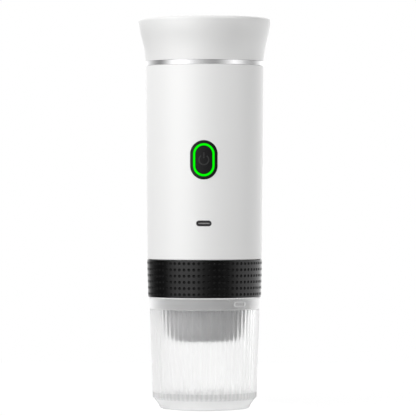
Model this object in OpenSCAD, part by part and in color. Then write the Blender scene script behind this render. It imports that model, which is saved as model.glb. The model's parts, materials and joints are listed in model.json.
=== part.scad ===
// Portable espresso maker: a clear cup, a screw-on brew head, a white body with
// pump, cells and heated tank, and a flared screw lid. Millimetres, +Z up.
// The origin is the middle of the cup's underside; the button faces -Y.

/* [Height stack] */
// Height of the clear cup
cup_h = 66.6; // [60:0.1:80]
// Height of the dimpled grip band
band_h = 22.4; // [20:0.1:30]
// Height of the white body between the band and the trim ring
housing_h = 115.9; // [110:0.1:150]
// Height of the bright trim ring
ring_h = 2.6; // [1.5:0.1:4]
// Height of the flared lid
lid_h = 25.9; // [22:0.1:34]

/* [Outer radii] */
// Lid radius at its widest, near the top
lid_rim_r = 39.6; // [38:0.1:44]
// How far the lid's lower edge stands out past the trim ring
lid_step = 0.1; // [0:0.05:0.6]
// How far the trim ring stands out past the body
ring_out = 0; // [0:0.05:0.6]
// Body radius at its top
housing_top_r = 35.3; // [34.6:0.1:38]
// Body radius at its bottom
housing_bottom_r = 34.3; // [33.8:0.1:37]
// Band radius at its top
band_top_r = 34.5; // [34.2:0.1:37]
// Band radius at its bottom
band_bottom_r = 33.9; // [33.6:0.1:36]
// Cup radius at its rim
cup_rim_r = 33.3; // [32.9:0.1:35]
// Cup radius at the lower end of the ribs
cup_foot_r = 31.2; // [30.6:0.1:33]

/* [Lid] */
// Wall of the lid's top
lid_top_t = 2.4; // [1.6:0.1:4]
// Wall of the lid at its lower edge
lid_wall = 2.2; // [1.6:0.1:2.6]
// Rounding of the lid's top edge
lid_round = 1.8; // [0.8:0.1:2.2]
// Height of the flare curve's lower handle above the lid's edge
flare_low = 13; // [8:0.5:16]
// Drop of the flare curve's upper handle below the lid's widest place
flare_high = 8.4; // [4:0.2:12]
// Outward lean of the lower handle
flare_lean = 1; // [0.4:0.1:1.6]
// Inward lean of the upper handle
flare_tuck = 0.7; // [0.2:0.1:1.2]
// Thickness of the liner's disc
liner_t = 1.8; // [1.2:0.1:3]
// Thickness of the soft seal under the liner's disc
lid_seal_t = 2; // [1.2:0.1:3]
// Radius of the vent valve's stem
vent_r = 2.5; // [1.5:0.1:4]
// Radius of the vent valve's soft heads
vent_head_r = 5; // [4.5:0.1:7]

/* [Tank] */
// Space from the inside of the steel tank to the body's bore
tank_inset = 4.1; // [3.9:0.1:8]
// Sheet thickness of the tank
tank_wall = 0.8; // [0.5:0.1:1]
// Rounding inside the tank's floor
tank_round = 5; // [2:0.5:8]
// Height of the threaded neck above the trim ring
neck_h = 9; // [7:0.5:11]
// Wall of the threaded neck outside the tank
neck_wall = 2; // [1.4:0.1:2.2]
// Depth of the collar's plug in the body's bore
plug_h = 8; // [5:0.5:14]
// Radius of the heater disc
heater_r = 19; // [14:0.5:19.5]
// Thickness of the heater disc
heater_t = 3; // [2:0.1:5]
// Radius of the thermal cut-out
thermostat_r = 5; // [3:0.1:7]
// Height of the thermal cut-out
thermostat_h = 4; // [2:0.1:4.4]

/* [Body] */
// Wall of the body at its narrow end
housing_wall = 2.2; // [1.6:0.1:2.4]
// Height of the ledge that the base plate and the lower frame clamp
ledge_h = 2; // [1.2:0.1:4]
// Inward reach of that ledge
ledge_reach = 2.4; // [1.5:0.1:3]
// Bevel of the body's and band's edges
edge_bevel = 0.35; // [0.1:0.05:0.8]

/* [Button] */
// Middle of the button above the body's bottom edge
button_up = 59.4; // [45:0.1:62]
// Width of the black bezel
bezel_w = 16; // [15:0.1:18]
// Height of the black bezel
bezel_h = 23; // [22:0.1:26]
// Width of the light ring, outside
light_w = 13.1; // [12.4:0.1:14]
// Height of the light ring, outside
light_h = 19.9; // [19:0.1:21]
// Breadth of the light ring
light_breadth = 1.7; // [1.4:0.1:2.2]
// Inward travel of the button
button_travel = 0.6; // [0.3:0.05:1]
// How far the bezel stands proud of the body
bezel_proud = 0.25; // [0.1:0.05:0.6]

/* [Charging socket] */
// Middle of the socket above the body's bottom edge
port_up = 21.9; // [16:0.1:34]
// Width of the socket's metal shell
port_w = 8.94; // [8.9:0.01:9]
// Height of the socket's metal shell
port_h = 3.26; // [3.2:0.01:3.3]
// Sheet thickness of the socket's shell
port_wall = 0.3; // [0.2:0.05:0.4]
// How deep the socket's mouth lies behind the body's face
port_recess = 0.7; // [0.4:0.1:1.5]

/* [Electronics] */
// Diameter of a battery cell
cell_d = 18.4; // [18:0.1:18.6]
// Length of a battery cell
cell_len = 65.2; // [64:0.1:67]
// Free space between neighbouring cells
cell_gap = 2.7; // [2.4:0.1:3.2]
// Space from a cell to the body's bore
cell_inset = 2.4; // [2.2:0.1:2.8]
// Width of the control board
board_w = 34; // [28:0.5:36]
// Thickness of the control board
board_t = 1.6; // [1:0.1:2]
// Distance of the board's front face behind the body's bore
board_setback = 7.3; // [6.9:0.1:7.8]

/* [Pump] */
// Length of the motor's can
motor_len = 30.8; // [26:0.1:33]
// Space between the pump head and the cells on its two sides
pump_gap = 2.4; // [1.5:0.1:3]
// How far the pump head stands out past the motor
pump_rim = 1; // [0.6:0.1:2]
// Height of the pump head
pump_h = 24; // [22:0.5:26]
// Space between the board and the motor
motor_clear = 4.2; // [3.8:0.1:4.6]
// Radius of the motor's shaft
shaft_r = 1.15; // [1:0.05:1.5]
// Radius of the eccentric
cam_r = 5; // [3.5:0.1:6]
// Throw of the eccentric
cam_throw = 1.5; // [0.8:0.1:1.8]
// Outer radius of the hoses
hose_r = 2.5; // [2.2:0.1:2.8]
// Bore radius of the hoses
hose_bore_r = 1.5; // [1.2:0.1:1.7]
// Bend radius of the inlet hose
hose_bend = 6.5; // [6:0.1:7]

/* [Brew head] */
// Wall of the grip band at its bottom
band_wall = 1.9; // [1.4:0.1:2.2]
// Wall of the chamber's threaded collar
collar_wall = 1; // [0.8:0.1:1.2]
// Depth of the threaded neck under the body
base_neck_h = 9.5; // [8.5:0.1:11]
// Space between the chamber's neck and the cup
neck_clear = 1.85; // [1.6:0.05:2.1]
// Height of the chamber's neck below the band
chamber_neck_h = 7; // [6:0.1:8]
// Step in from the chamber's neck to the funnel
funnel_step = 2.4; // [1:0.1:2.6]
// Taper of the funnel down to where it starts to curve in
funnel_taper = 3.3; // [2.6:0.1:3.6]
// Radius of the funnel's flat end
funnel_end_r = 13.3; // [8:0.1:16]
// Height of the funnel's curved end
funnel_curve_h = 5.7; // [5:0.1:7]
// Depth of the funnel below the band
funnel_h = 26.7; // [25.5:0.1:32]
// Radius of the coffee outlet
outlet_r = 2.5; // [1.5:0.1:4]
// Space from the inside of the coffee basket's floor to the funnel's curve
basket_inset = 2.7; // [2.5:0.1:4]
// Widening of the coffee basket from floor to mouth
basket_taper = 3; // [2:0.1:3.2]
// Depth of the coffee basket
basket_depth = 25; // [18:0.5:25.5]
// Sheet thickness of basket and shower screen
sheet_t = 0.7; // [0.5:0.05:1]
// Thickness of the brew gasket
gasket_t = 3; // [2:0.1:4]
// Section radius of the ring that grips the cup
cup_seal_r = 1.1; // [0.9:0.05:1.3]
// Radius of a hole in the basket and the shower screen
pore_r = 0.6; // [0.3:0.05:0.8]

/* [Cup] */
// Wall of the cup at its rim
cup_wall = 2.2; // [1.8:0.1:2.4]
// Number of ribs around the cup
rib_count = 68; // [36:4:84]
// Section radius of a rib
rib_r = 1; // [0.8:0.05:1.1]
// How far a rib stands out of the wall
rib_depth = 0.45; // [0.3:0.05:0.6]
// How far the ribs lie inside the smooth collar
rib_inset = 0.15; // [0.1:0.05:0.4]
// Height of the smooth collar under the rim
cup_collar_h = 7.3; // [6:0.1:10]
// Height of the inset base under the ribs
cup_base_h = 5.7; // [4:0.1:8]
// Step in from the ribs' lower end to the inset base
base_step = 1.6; // [1.2:0.1:2.2]
// Taper of the inset base down to its foot
stand_taper = 2.4; // [1.6:0.1:3]
// Wall of the inset base
cup_base_wall = 2.4; // [1.8:0.1:3]
// Rounding under the base
cup_round = 1.6; // [0.8:0.1:2]
// Thickness of the cup's floor
cup_floor_t = 2.6; // [1.8:0.1:4]
// Space under the cup's floor
cup_under_h = 7; // [6.6:0.1:9]
// Rounding inside the cup's floor
cup_in_round = 1; // [1:0.5:5]
// Width of the oval mark on the collar
pad_w = 8.9; // [6:0.1:12]
// Height of the oval mark
pad_h = 3.3; // [2:0.1:5]
// Breadth of the raised rim round the oval mark
pad_rim = 0.6; // [0.4:0.05:0.9]
// Angle of the oval mark to the right of the front
pad_angle = 40; // [10:1:80]
// How far the rim of the oval mark stands proud
pad_proud = 0.25; // [0.1:0.05:0.4]

/* [Fits] */
// Gap between pieces that are fixed to each other
fit_gap = 0.1; // [0.05:0.01:0.15]
// Gap of pieces that slide or turn against each other
run_gap = 0.3; // [0.2:0.05:0.4]
// Radial gap of the motor's shaft in its bearing
shaft_gap = 0.05; // [0.02:0.01:0.09]
// Radial room for a screw thread's ridges
thread_room = 0.9; // [0.7:0.05:1.2]
// Visible seam between neighbouring outer pieces
seam = 0.2; // [0.1:0.05:0.4]
// Shank radius of the screws
screw_r = 1.25; // [1:0.05:1.5]
// Head radius of the screws
screw_head_r = 2.4; // [2.2:0.1:2.8]
// Head height of the screws
screw_head_h = 1.6; // [1.2:0.1:2]
// Free length of the screws in the base plate and the frames
screw_len = 8; // [6:0.5:9]

/* [Hidden] */

$fn = 96;
// Straight steps in the outline of a rounding
arc_steps = 6;
// Overlap of cutting tools past the faces that they cut
cut = 1;
// Depth by which the joined forms of one piece run into each other
root = 1;

// Levels of the outer stack
z_band = cup_h;
z_housing = z_band + band_h;
z_ring = z_housing + housing_h;
z_lid = z_ring + ring_h;
z_top = z_lid + lid_h;

// Cup: the envelope of ribs and collar is one straight taper
z_rib_low = cup_base_h;
z_rib_top = cup_h - cup_collar_h;
cup_slope = (cup_rim_r - cup_foot_r) / (cup_h - z_rib_low);
function cup_outer(z) = cup_rim_r - cup_slope * (cup_h - z);
function cup_inner(z) = cup_outer(z) - cup_wall;
rib_lean = atan(cup_slope);
rib_start = 0.8;
z_rib_start = z_rib_low + rib_start;
z_cup_floor = cup_under_h + cup_floor_t;
cup_base_r = cup_foot_r - base_step;
cup_stand_r = cup_base_r - stand_taper;
cup_edge = 0.4;
foot_bevel = 0.5;

// Brew head: chamber inside the band, threaded on the base plate's neck
band_bore_r = band_bottom_r - band_wall;
collar_r = band_bore_r - fit_gap;
collar_bore_r = collar_r - collar_wall;
base_neck_r = collar_bore_r - thread_room;
z_neck_end = z_housing - base_neck_h;
z_basket_rim = z_neck_end - gasket_t - 2 * fit_gap;
z_basket_seat = z_basket_rim - sheet_t;
z_basket_floor = z_basket_rim - basket_depth;
z_funnel_end = z_band - funnel_h;
z_chamber_neck = z_band - chamber_neck_h;
chamber_neck_r = cup_inner(z_chamber_neck) - neck_clear;
funnel_top_r = chamber_neck_r - funnel_step;
funnel_low_r = funnel_top_r - funnel_taper;
funnel_sweep = 5;
funnel_lean = 1;
funnel_drop = 4;
neck_bevel = 1;
basket_low_r = funnel_low_r - basket_inset;
basket_r = basket_low_r + basket_taper;
pocket_gap = 0.5;
z_pocket = z_basket_floor - sheet_t - pocket_gap;
drain_inset = 2;
outlet_h = 2;
basket_out_r = basket_r + sheet_t;
basket_low_out_r = basket_low_r + sheet_t;
basket_pore_step = 5.6;
screen_pore_step = 5;
gasket_lap = 1.6;
gasket_in_r = basket_r + gasket_lap;
gasket_out_r = base_neck_r - run_gap;
screen_r = gasket_in_r - run_gap - fit_gap;
z_cup_seal = z_band - chamber_neck_h / 2;
cup_seal_ring_r = cup_inner(z_cup_seal) - run_gap - cup_seal_r;
seal_groove_r = cup_seal_ring_r - cup_seal_r - fit_gap;

// Body: bore, ledge and the two frames
bore_r = min(housing_bottom_r, housing_top_r) - housing_wall;
disc_r = bore_r - fit_gap;
base_t = 3;
base_neck_wall = 3;
neck_floor = 3;
outlet_boss_r = 5;
outlet_boss_over = 1;
z_base = z_housing + seam;
z_ledge = z_base + base_t;
z_lower = z_ledge + ledge_h;
frame_t = 3;
z_deck = z_lower + frame_t;
link_t = 0.4;
z_cells = z_deck + link_t + fit_gap;
z_cells_top = z_cells + cell_len;
z_upper = z_cells_top + link_t + fit_gap;
z_upper_top = z_upper + frame_t;
heater_seat_h = 2;
z_heater = z_upper_top + heater_seat_h;
z_tank = z_heater + heater_t + fit_gap;
z_rim = z_lid + neck_h;
housing_slope = (housing_top_r - housing_bottom_r) / housing_h;
function housing_outer(z) = housing_bottom_r + housing_slope * (z - z_housing);

// Cells stand in an arc against the back wall, one at the very back
cell_r = cell_d / 2;
cell_ring_r = bore_r - cell_r - cell_inset;
cell_step = 2 * asin((cell_r + cell_gap / 2) / cell_ring_r);
cell_angles = [for (i = [-1:1]) 90 + i * cell_step];
cell_cup_wall = 1.2;
cell_cup_h = 4;

// Columns between the frames: two between the cells, two beside the board
column_r = 3;
column_inset = 1.2;
column_ring_r = disc_r - column_r - column_inset;
pilot_depth = 10;
column_front = 35;
column_angles = [90 - cell_step / 2, 90 + cell_step / 2, -column_front, 180 + column_front];

// Board, button and socket on the front wall
y_board = -(bore_r - board_setback);
y_board_back = y_board + board_t;
slot_depth = 1.5;
chip_t = 1.2;
chip_x = 9;
chip_row = 14;
controller_side = 7;
charger_side = 5;
switch_w = 4;
coil_side = 7;
coil_t = 3;
z_button = z_housing + button_up;
z_port = z_housing + port_up;
light_in_w = light_w - 2 * light_breadth;
light_in_h = light_h - 2 * light_breadth;
button_w = light_in_w - run_gap;
button_h = light_in_h - run_gap;
light_set = 0.05;
button_set = 0.1;
front_cut = -max(housing_bottom_r, housing_top_r) - cut;
wall_cut = -bore_r / 2;
port_back = 2;
y_port = -housing_outer(z_port) + port_recess;
switch_side = 6;
switch_h = 3.1;
stem_r = 1.7;
stem_h = 0.7;
y_stem = y_board - switch_h - stem_h;
y_button_back = y_stem - button_travel - fit_gap;
button_flange_t = 1.1;
button_flange = 1.2;
led_t = 0.8;
led_w = 1.2;
led_pitch = 3;
y_light_back = y_board - led_t - run_gap;
y_light_step = y_button_back - button_flange_t - run_gap / 2;

// Pump on the lower frame, motor on the pump. In plan the pump head is the circle that clears
// the board's back and the two side cells.
x_cell = cell_ring_r * sin(cell_step);
y_pump_front = y_board_back + motor_clear - pump_rim;
cell_back = cell_ring_r * cos(cell_step) - y_pump_front;
cell_keep = cell_r + pump_gap;
pump_r = (x_cell * x_cell + cell_back * cell_back - cell_keep * cell_keep) / (2 * (cell_back + cell_keep));
motor_r = pump_r - pump_rim;
y_pump = y_pump_front + pump_r;
damper_t = 1.5;
z_pump = z_deck + damper_t;
z_motor = z_pump + pump_h;
z_motor_top = z_motor + motor_len;
cam_h = 4;
cam_chamber_h = 8;
cam_floor = 2;
cam_room = 1.5;
z_cam = z_motor - cam_chamber_h + cam_floor;
shaft_over = 1;
barb_r = hose_bore_r - shaft_gap;
barb_bore_r = 0.9;
barb_len = 3;
hose_room = 1;
inlet_run = 3.5;
inlet_up = 8;
x_inlet = -(pump_r + hose_bend + inlet_run);
z_inlet = z_pump + inlet_up;
hose_end_gap = 3;
z_hose_top = z_tank - hose_end_gap;
pump_screw_inset = 3.5;
pump_screw_bite = 5;
pump_screw_ring = pump_r - pump_screw_inset;
base_screw_ring = 20;
base_screw_angles = [30, 150, 270];
pump_screw_angles = [90, 210, 330];
boss_r = 3.5;
terminal_x = 6.5;
terminal_t = 0.8;
terminal_w = 2;
terminal_h = 3;

// Lid stack above the tank's rim
tank_r = bore_r - tank_inset;
neck_r = tank_r + tank_wall + fit_gap + neck_wall;
liner_bore_r = neck_r + thread_room;
ring_r = housing_top_r + ring_out;
ring_wall = 2;
flange_r = ring_r - ring_wall;
lid_waist_r = ring_r + lid_step;
lid_bore_r = lid_waist_r - lid_wall;
liner_r = lid_bore_r - 2 * fit_gap;
z_seal = z_rim + tank_wall + fit_gap;
z_liner_disc = z_seal + lid_seal_t;
z_liner_top = z_liner_disc + liner_t;

function arc(cx, cz, r, a0, a1, n) =
    [for (i = [0:n]) let (a = a0 + (a1 - a0) * i / n) [cx + r * cos(a), cz + r * sin(a)]];
function bezier(p0, p1, p2, p3, n) =
    [for (i = [0:n]) let (t = i / n, s = 1 - t)
        s * s * s * p0 + 3 * s * s * t * p1 + 3 * s * t * t * p2 + t * t * t * p3];

// A washer or tube standing on z = 0
module tube(r_out, r_in, h) {
    difference() {
        cylinder(h = h, r = r_out);
        translate([0, 0, -cut]) cylinder(h = h + 2 * cut, r = r_in);
    }
}

// An outline with round ends, along its longer side
module stadium(w, h) {
    r = min(w, h) / 2;
    dx = w / 2 - r;
    dz = h / 2 - r;
    square([dx > 0 ? 2 * dx : 2 * r, dz > 0 ? 2 * dz : 2 * r], center = true);
    for (s = [-1, 1]) translate([s * dx, s * dz]) circle(r);
}

// A stadium block in the front wall, from depth y_from (outer) to y_to (inner)
module front_block(w, h, z, y_from, y_to) {
    translate([0, y_to, z]) rotate([90, 0, 0]) linear_extrude(y_to - y_from) stadium(w, h);
}

// The body's outer cone, grown or shrunk
module housing_cone(grow) {
    translate([0, 0, z_housing])
        cylinder(h = housing_h, r1 = housing_bottom_r + grow, r2 = housing_top_r + grow);
}

module at_cells() {
    for (a = cell_angles) rotate(a) translate([cell_ring_r, 0, 0]) children();
}

module at_columns() {
    for (a = column_angles) rotate(a) translate([column_ring_r, 0, 0]) children();
}

module at_base_screws() {
    for (a = base_screw_angles) rotate(a) translate([base_screw_ring, 0, 0]) children();
}

module at_pump_screws() {
    translate([0, y_pump, 0]) for (a = pump_screw_angles) rotate(a)
        translate([pump_screw_ring, 0, 0]) children();
}

// Rings of small holes around a middle one
module pores(rings, step) {
    cylinder(h = sheet_t + 2 * cut, r = pore_r, $fn = 24);
    for (k = [1:rings]) for (i = [0:6 * k - 1]) rotate(i * 60 / k) translate([k * step, 0, 0])
        cylinder(h = sheet_t + 2 * cut, r = pore_r, $fn = 24);
}

// A pan-head screw with its head at the bottom, pointing up
module screw(shank) {
    cylinder(h = screw_head_h, r = screw_head_r);
    cylinder(h = screw_head_h + shank, r = screw_r);
}

module cup() {
    valley = rib_inset + rib_depth;
    color("azure", 0.5) union() {
        rotate_extrude() polygon(concat(
            [[cup_stand_r - cup_base_wall, 0]],
            arc(cup_stand_r - cup_round, cup_round, cup_round, -90, 0, arc_steps),
            [[cup_base_r, z_rib_low - foot_bevel],
             [cup_outer(z_rib_low) - valley - foot_bevel, z_rib_low],
             [cup_outer(z_rib_low) - valley, z_rib_low + foot_bevel],
             [cup_outer(z_rib_top) - valley, z_rib_top],
             [cup_outer(z_rib_top), z_rib_top + cup_edge],
             [cup_rim_r, cup_h - cup_edge], [cup_rim_r - cup_edge, cup_h],
             [cup_inner(cup_h) + cup_edge, cup_h], [cup_inner(cup_h), cup_h - cup_edge]],
            arc(cup_inner(z_cup_floor) - cup_in_round, z_cup_floor + cup_in_round, cup_in_round,
                0, -90, arc_steps),
            [[0, z_cup_floor], [0, cup_under_h], [cup_stand_r - cup_base_wall, cup_under_h]]));
        cup_ribs();
        cup_pad();
    }
}

// Half-round ribs that lean with the wall and run up into the collar
module cup_ribs() {
    rib_len = (z_rib_top + cup_edge / 2 - z_rib_start) / cos(rib_lean);
    foot = cup_outer(z_rib_start) - rib_inset - rib_r;
    for (i = [0:rib_count - 1]) rotate((i + 0.5) * 360 / rib_count)
        translate([foot, 0, z_rib_start]) rotate([0, rib_lean, 0])
            cylinder(h = rib_len, r = rib_r, $fn = 24);
}

// Raised rim of the oval mark on the smooth collar
module cup_pad() {
    z_mid = cup_h - cup_collar_h / 2;
    y_root = -cup_inner(z_mid) - cup_wall / 2;
    rotate(pad_angle) intersection() {
        difference() {
            front_block(pad_w, pad_h, z_mid, -cup_rim_r - cut, y_root);
            front_block(pad_w - 2 * pad_rim, pad_h - 2 * pad_rim, z_mid, -cup_rim_r - 2 * cut, y_root + cut);
        }
        translate([0, 0, z_rib_top])
            cylinder(h = cup_collar_h, r1 = cup_outer(z_rib_top) + pad_proud, r2 = cup_rim_r + pad_proud);
    }
}

module grip_band() {
    color("black") rotate_extrude() polygon([
        [band_bore_r, z_band + seam], [band_bottom_r - edge_bevel, z_band + seam],
        [band_bottom_r, z_band + seam + edge_bevel], [band_top_r, z_housing - edge_bevel],
        [band_top_r - edge_bevel, z_housing], [band_bore_r, z_housing]]);
}

module brew_chamber() {
    groove_h = 2 * cup_seal_r + 2 * fit_gap;
    z_groove = z_cup_seal - groove_h / 2;
    z_curve = z_funnel_end + funnel_curve_h;
    color("gray") rotate_extrude() polygon(concat(
        [[outlet_r, z_funnel_end]],
        bezier([funnel_end_r, z_funnel_end], [funnel_end_r + funnel_sweep, z_funnel_end],
            [funnel_low_r - funnel_lean, z_curve - funnel_drop], [funnel_low_r, z_curve], 8),
        [[funnel_top_r, z_chamber_neck - neck_bevel], [chamber_neck_r - edge_bevel, z_chamber_neck],
         [chamber_neck_r, z_chamber_neck + edge_bevel],
         [chamber_neck_r, z_groove], [seal_groove_r, z_groove],
         [seal_groove_r, z_groove + groove_h], [chamber_neck_r, z_groove + groove_h],
         [chamber_neck_r, z_band + seam], [collar_r, z_band + seam], [collar_r, z_housing - seam],
         [collar_bore_r, z_housing - seam], [collar_bore_r, z_basket_seat - fit_gap],
         [basket_out_r + pocket_gap, z_basket_seat - fit_gap], [basket_low_out_r + pocket_gap, z_pocket],
         [basket_low_r - drain_inset, z_pocket], [outlet_r, z_funnel_end + outlet_h]]));
}

module filter_basket() {
    color("silver") difference() {
        rotate_extrude() polygon([
            [0, z_basket_floor - sheet_t], [basket_low_out_r, z_basket_floor - sheet_t],
            [basket_out_r, z_basket_seat], [collar_bore_r - run_gap, z_basket_seat],
            [collar_bore_r - run_gap, z_basket_rim], [basket_r, z_basket_rim],
            [basket_low_r, z_basket_floor], [0, z_basket_floor]]);
        translate([0, 0, z_basket_floor - sheet_t - cut]) pores(3, basket_pore_step);
    }
}

module cup_seal() {
    color("dimgray") translate([0, 0, z_cup_seal]) rotate_extrude()
        translate([cup_seal_ring_r, 0]) circle(cup_seal_r, $fn = 32);
}

module brew_gasket() {
    color("dimgray") translate([0, 0, z_basket_rim + fit_gap]) tube(gasket_out_r, gasket_in_r, gasket_t);
}

module main_housing() {
    ledge_r = bore_r - ledge_reach;
    color("white") difference() {
        rotate_extrude() polygon([
            [bore_r, z_base], [housing_bottom_r - edge_bevel, z_base],
            [housing_bottom_r, z_base + edge_bevel],
            [housing_top_r, z_ring - edge_bevel], [housing_top_r - edge_bevel, z_ring], [bore_r, z_ring],
            [bore_r, z_lower], [ledge_r, z_lower], [ledge_r, z_ledge], [bore_r, z_ledge]]);
        front_block(bezel_w + 2 * fit_gap, bezel_h + 2 * fit_gap, z_button, front_cut, wall_cut);
        front_block(port_w + 2 * fit_gap, port_h + 2 * fit_gap, z_port, front_cut, wall_cut);
    }
}

module base_plate() {
    neck_in_r = base_neck_r - base_neck_wall;
    z_bore = z_neck_end - cut;
    color("dimgray") difference() {
        union() {
            rotate_extrude() polygon([
                [0, z_neck_end], [base_neck_r, z_neck_end], [base_neck_r, z_base], [disc_r, z_base],
                [disc_r, z_ledge], [neck_in_r, z_ledge], [neck_in_r, z_neck_end + neck_floor],
                [0, z_neck_end + neck_floor]]);
            translate([0, y_pump, z_neck_end]) {
                cylinder(h = base_neck_h + outlet_boss_over, r = outlet_boss_r);
                cylinder(h = z_lower + root - z_neck_end, r = barb_r);
            }
        }
        translate([0, y_pump, z_bore]) cylinder(h = z_lower + root + cut - z_bore, r = barb_bore_r);
        translate([0, 0, z_bore]) cylinder(h = cut + sheet_t + fit_gap, r = screen_r + fit_gap);
        at_base_screws() translate([0, 0, z_bore]) {
            cylinder(h = cut + sheet_t + screw_head_h + 2 * fit_gap, r = screw_head_r + fit_gap);
            cylinder(h = base_neck_h, r = screw_r + fit_gap);
        }
    }
}

module base_screws() {
    color("silver") at_base_screws() translate([0, 0, z_neck_end + sheet_t + 2 * fit_gap])
        screw(screw_len);
}

module shower_screen() {
    color("silver") difference() {
        translate([0, 0, z_neck_end]) cylinder(h = sheet_t, r = screen_r);
        translate([0, 0, z_neck_end - cut]) pores(4, screen_pore_step);
    }
}

// Cups that centre the ends of the cells, rooted in the frame's plate
module cell_cups(z) {
    in_r = cell_r + fit_gap;
    at_cells() translate([0, 0, z]) tube(in_r + cell_cup_wall, in_r, cell_cup_h + root);
}

module board_slot(z) {
    translate([-board_w / 2 - fit_gap, y_board - fit_gap, z])
        cube([board_w + 2 * fit_gap, board_t + 2 * fit_gap, slot_depth]);
}

module lower_frame() {
    boss_h = z_lower - z_neck_end - neck_floor - fit_gap;
    color("slategray") difference() {
        union() {
            translate([0, 0, z_lower]) cylinder(h = frame_t, r = disc_r);
            cell_cups(z_deck - root);
            at_columns() translate([0, 0, z_lower]) cylinder(h = z_upper - z_lower, r = column_r);
            at_base_screws() translate([0, 0, z_lower - boss_h]) cylinder(h = boss_h + root, r = boss_r);
        }
        translate([0, y_pump, z_lower - cut]) cylinder(h = frame_t + 2 * cut, r = hose_r + hose_room);
        board_slot(z_deck - slot_depth);
        strips(fit_gap);
        at_columns() translate([0, 0, z_upper - pilot_depth])
            cylinder(h = pilot_depth + cut, r = screw_r + fit_gap);
        at_base_screws() translate([0, 0, z_lower - boss_h - cut])
            cylinder(h = boss_h, r = screw_r + fit_gap);
        at_pump_screws() translate([0, 0, z_lower - cut]) {
            cylinder(h = cut + screw_head_h + fit_gap, r = screw_head_r + fit_gap);
            cylinder(h = frame_t + 2 * cut, r = screw_r + fit_gap);
        }
    }
}

module upper_frame() {
    seat_inset = 1;
    seat_wall = 2.5;
    seat_r = heater_r - seat_inset;
    seat_h = heater_seat_h - fit_gap;
    thermostat_room = 1;
    color("slategray") difference() {
        union() {
            translate([0, 0, z_upper]) cylinder(h = frame_t, r = disc_r);
            cell_cups(z_upper - cell_cup_h);
            translate([0, 0, z_upper_top - root]) tube(seat_r, seat_r - seat_wall, seat_h + root);
        }
        translate([x_inlet, y_pump, z_upper - cell_cup_h])
            cylinder(h = frame_t + cell_cup_h + cut, r = hose_r + run_gap);
        translate([0, 0, z_upper - cut])
            cylinder(h = frame_t + 2 * cut, r = thermostat_r + thermostat_room);
        board_slot(z_upper - cut);
        translate([0, 0, -fit_gap]) strips(2 * fit_gap);
        at_columns() translate([0, 0, z_upper - cut]) {
            cylinder(h = frame_t + 2 * cut, r = screw_r + fit_gap);
            translate([0, 0, cut + frame_t - screw_head_h - fit_gap])
                cylinder(h = screw_head_h + 2 * cut, r = screw_head_r + fit_gap);
        }
    }
}

module frame_screws() {
    color("silver") at_columns() translate([0, 0, z_upper_top]) mirror([0, 0, 1]) screw(screw_len);
}

module battery_cells() {
    color("seagreen") at_cells() translate([0, 0, z_cells]) cylinder(h = cell_len, r = cell_r);
}

// Nickel strips: one joins two cells below, one joins two above, two end strips.
// A margin above 0 gives the notches that the frames leave for them.
module strips(margin) {
    strip_w = 7;
    strip_past = 3;
    end_len = 10;
    pitch = 2 * cell_ring_r * sin(cell_step / 2);
    mid = cell_ring_r * cos(cell_step / 2);
    joined = [strip_w + 2 * margin, pitch + 2 * strip_past + 2 * margin, link_t + margin];
    single = [end_len + 2 * margin, strip_w + 2 * margin, link_t + margin];
    z_low = z_deck + fit_gap - margin;
    rotate(90 - cell_step / 2) translate([mid, 0, z_low]) flat_bar(joined);
    rotate(90 + cell_step / 2) translate([mid, 0, z_cells_top]) flat_bar(joined);
    rotate(cell_angles[0]) translate([cell_ring_r, 0, z_cells_top]) flat_bar(single);
    rotate(cell_angles[2]) translate([cell_ring_r, 0, z_low]) flat_bar(single);
}

// A bar centred on the Z axis, standing on z = 0
module flat_bar(size) {
    translate([-size[0] / 2, -size[1] / 2, 0]) cube(size);
}

module cell_links() {
    color("silver") strips(0);
}

module control_board() {
    z_low = z_deck - slot_depth + fit_gap;
    z_high = z_upper + slot_depth - cut - fit_gap;
    color("darkgreen") translate([-board_w / 2, y_board, z_low]) cube([board_w, board_t, z_high - z_low]);
}

// Controller, charger chip, two power switches and a storage coil on the back of the board
module board_chips() {
    color("black") {
        chip([controller_side, chip_t, controller_side], -chip_x, chip_row);
        chip([charger_side, chip_t, charger_side], chip_x, chip_row);
        for (s = [-1, 1]) chip([switch_w, chip_t, charger_side], s * switch_w, 2 * chip_row);
        chip([coil_side, coil_t, coil_side], chip_x, 3 * chip_row);
    }
}

// A block on the board's back face, its middle at x and that far above the deck
module chip(size, x, up) {
    translate([x - size[0] / 2, y_board_back, z_deck + up - size[2] / 2]) cube(size);
}

// Six lamps behind the light ring, three down each straight side
module status_leds() {
    x_led = (light_w - light_breadth) / 2;
    color("palegreen") for (s = [-1, 1]) for (k = [-1:1])
        translate([s * x_led - led_w / 2, y_board - led_t, z_button + k * led_pitch - led_w / 2])
            cube([led_w, led_t, led_w]);
}

module tact_switch() {
    color("dimgray") {
        translate([-switch_side / 2, y_board - switch_h, z_button - switch_side / 2])
            cube([switch_side, switch_h, switch_side]);
        translate([0, y_board - switch_h + root, z_button]) rotate([90, 0, 0])
            cylinder(h = stem_h + root, r = stem_r);
    }
}

module usb_socket() {
    in_w = port_w - 2 * port_wall;
    in_h = port_h - 2 * port_wall;
    color("dimgray") difference() {
        front_block(port_w, port_h, z_port, y_port, y_board);
        front_block(in_w, in_h, z_port, y_port - cut, y_board - port_back);
    }
}

module usb_tongue() {
    tongue_w = 6.7;
    tongue_t = 0.7;
    tongue_set = 0.5;
    y_tip = y_port + tongue_set;
    color("gray") translate([-tongue_w / 2, y_tip, z_port - tongue_t / 2])
        cube([tongue_w, y_board - port_back - y_tip, tongue_t]);
}

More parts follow.
